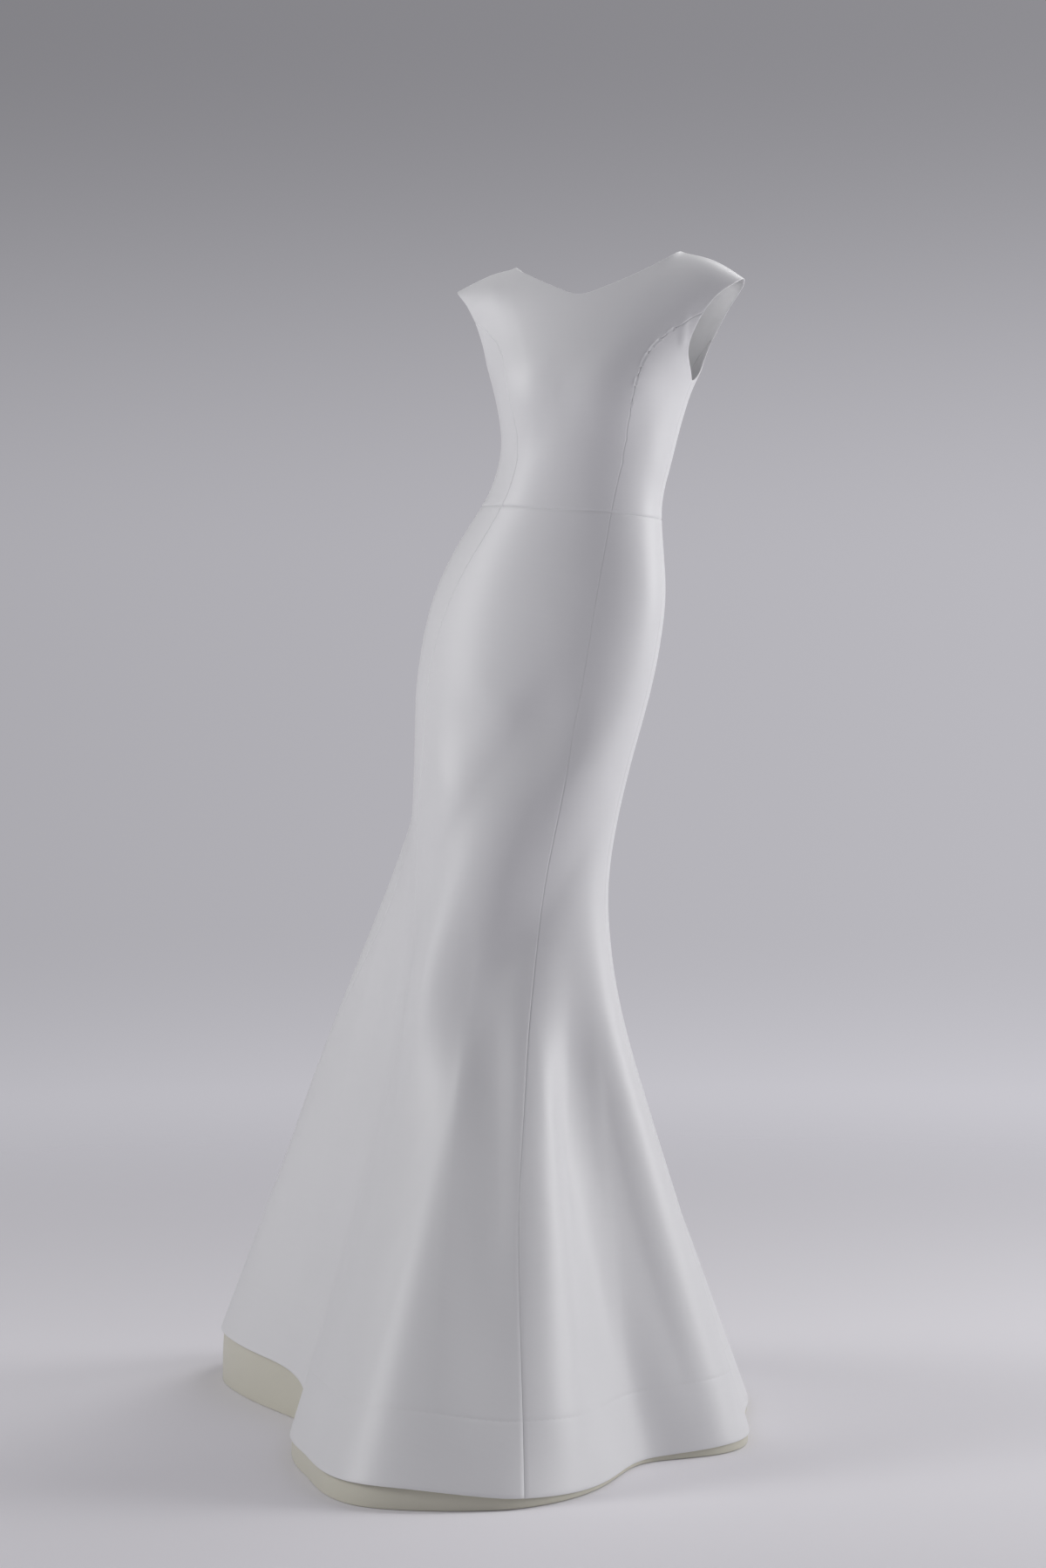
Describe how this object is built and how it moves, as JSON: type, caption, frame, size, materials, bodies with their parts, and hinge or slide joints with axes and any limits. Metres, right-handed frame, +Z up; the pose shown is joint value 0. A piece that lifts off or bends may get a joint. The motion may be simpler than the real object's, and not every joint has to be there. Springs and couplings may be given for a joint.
{
  "type": "mermaid gown",
  "caption": "Fitted floor-length satin gown with a shallow V neckline, grown-on cap shoulders, princess seams, a flared skirt and a short swept train, worn and hollow.",
  "frame": {"origin": "midway between the inner ends of the two shoulder seams, where the gown hangs on its wearer's shoulders", "axes": "+Z up, from the hem to the shoulders; -Y the way the front faces; +X towards the wearer's left"},
  "size_m": [0.8584, 1.0709, 1.5579],
  "materials": {
    "heavy_satin": "ivory-white heavy matte satin with a soft sheen and a very fine weave",
    "lining_satin": "cream lining satin, smoother and thinner than the shell",
    "zip_tape": "off-white woven zip tape"
  },
  "bodies": {
    "root": {"bodice_front": "heavy_satin", "bodice_side_front_left": "heavy_satin", "bodice_side_front_right": "heavy_satin", "bodice_side_back_left": "heavy_satin", "bodice_side_back_right": "heavy_satin", "bodice_back_left": "heavy_satin", "bodice_back_right": "heavy_satin", "skirt_front": "heavy_satin", "skirt_side_front_left": "heavy_satin", "skirt_side_front_right": "heavy_satin", "skirt_side_back_left": "heavy_satin", "skirt_side_back_right": "heavy_satin", "skirt_back_left": "heavy_satin", "skirt_back_right": "heavy_satin", "hem_lining_front": "lining_satin", "hem_lining_back": "lining_satin", "zip_tape": "zip_tape"}
  },
  "joints": []
}
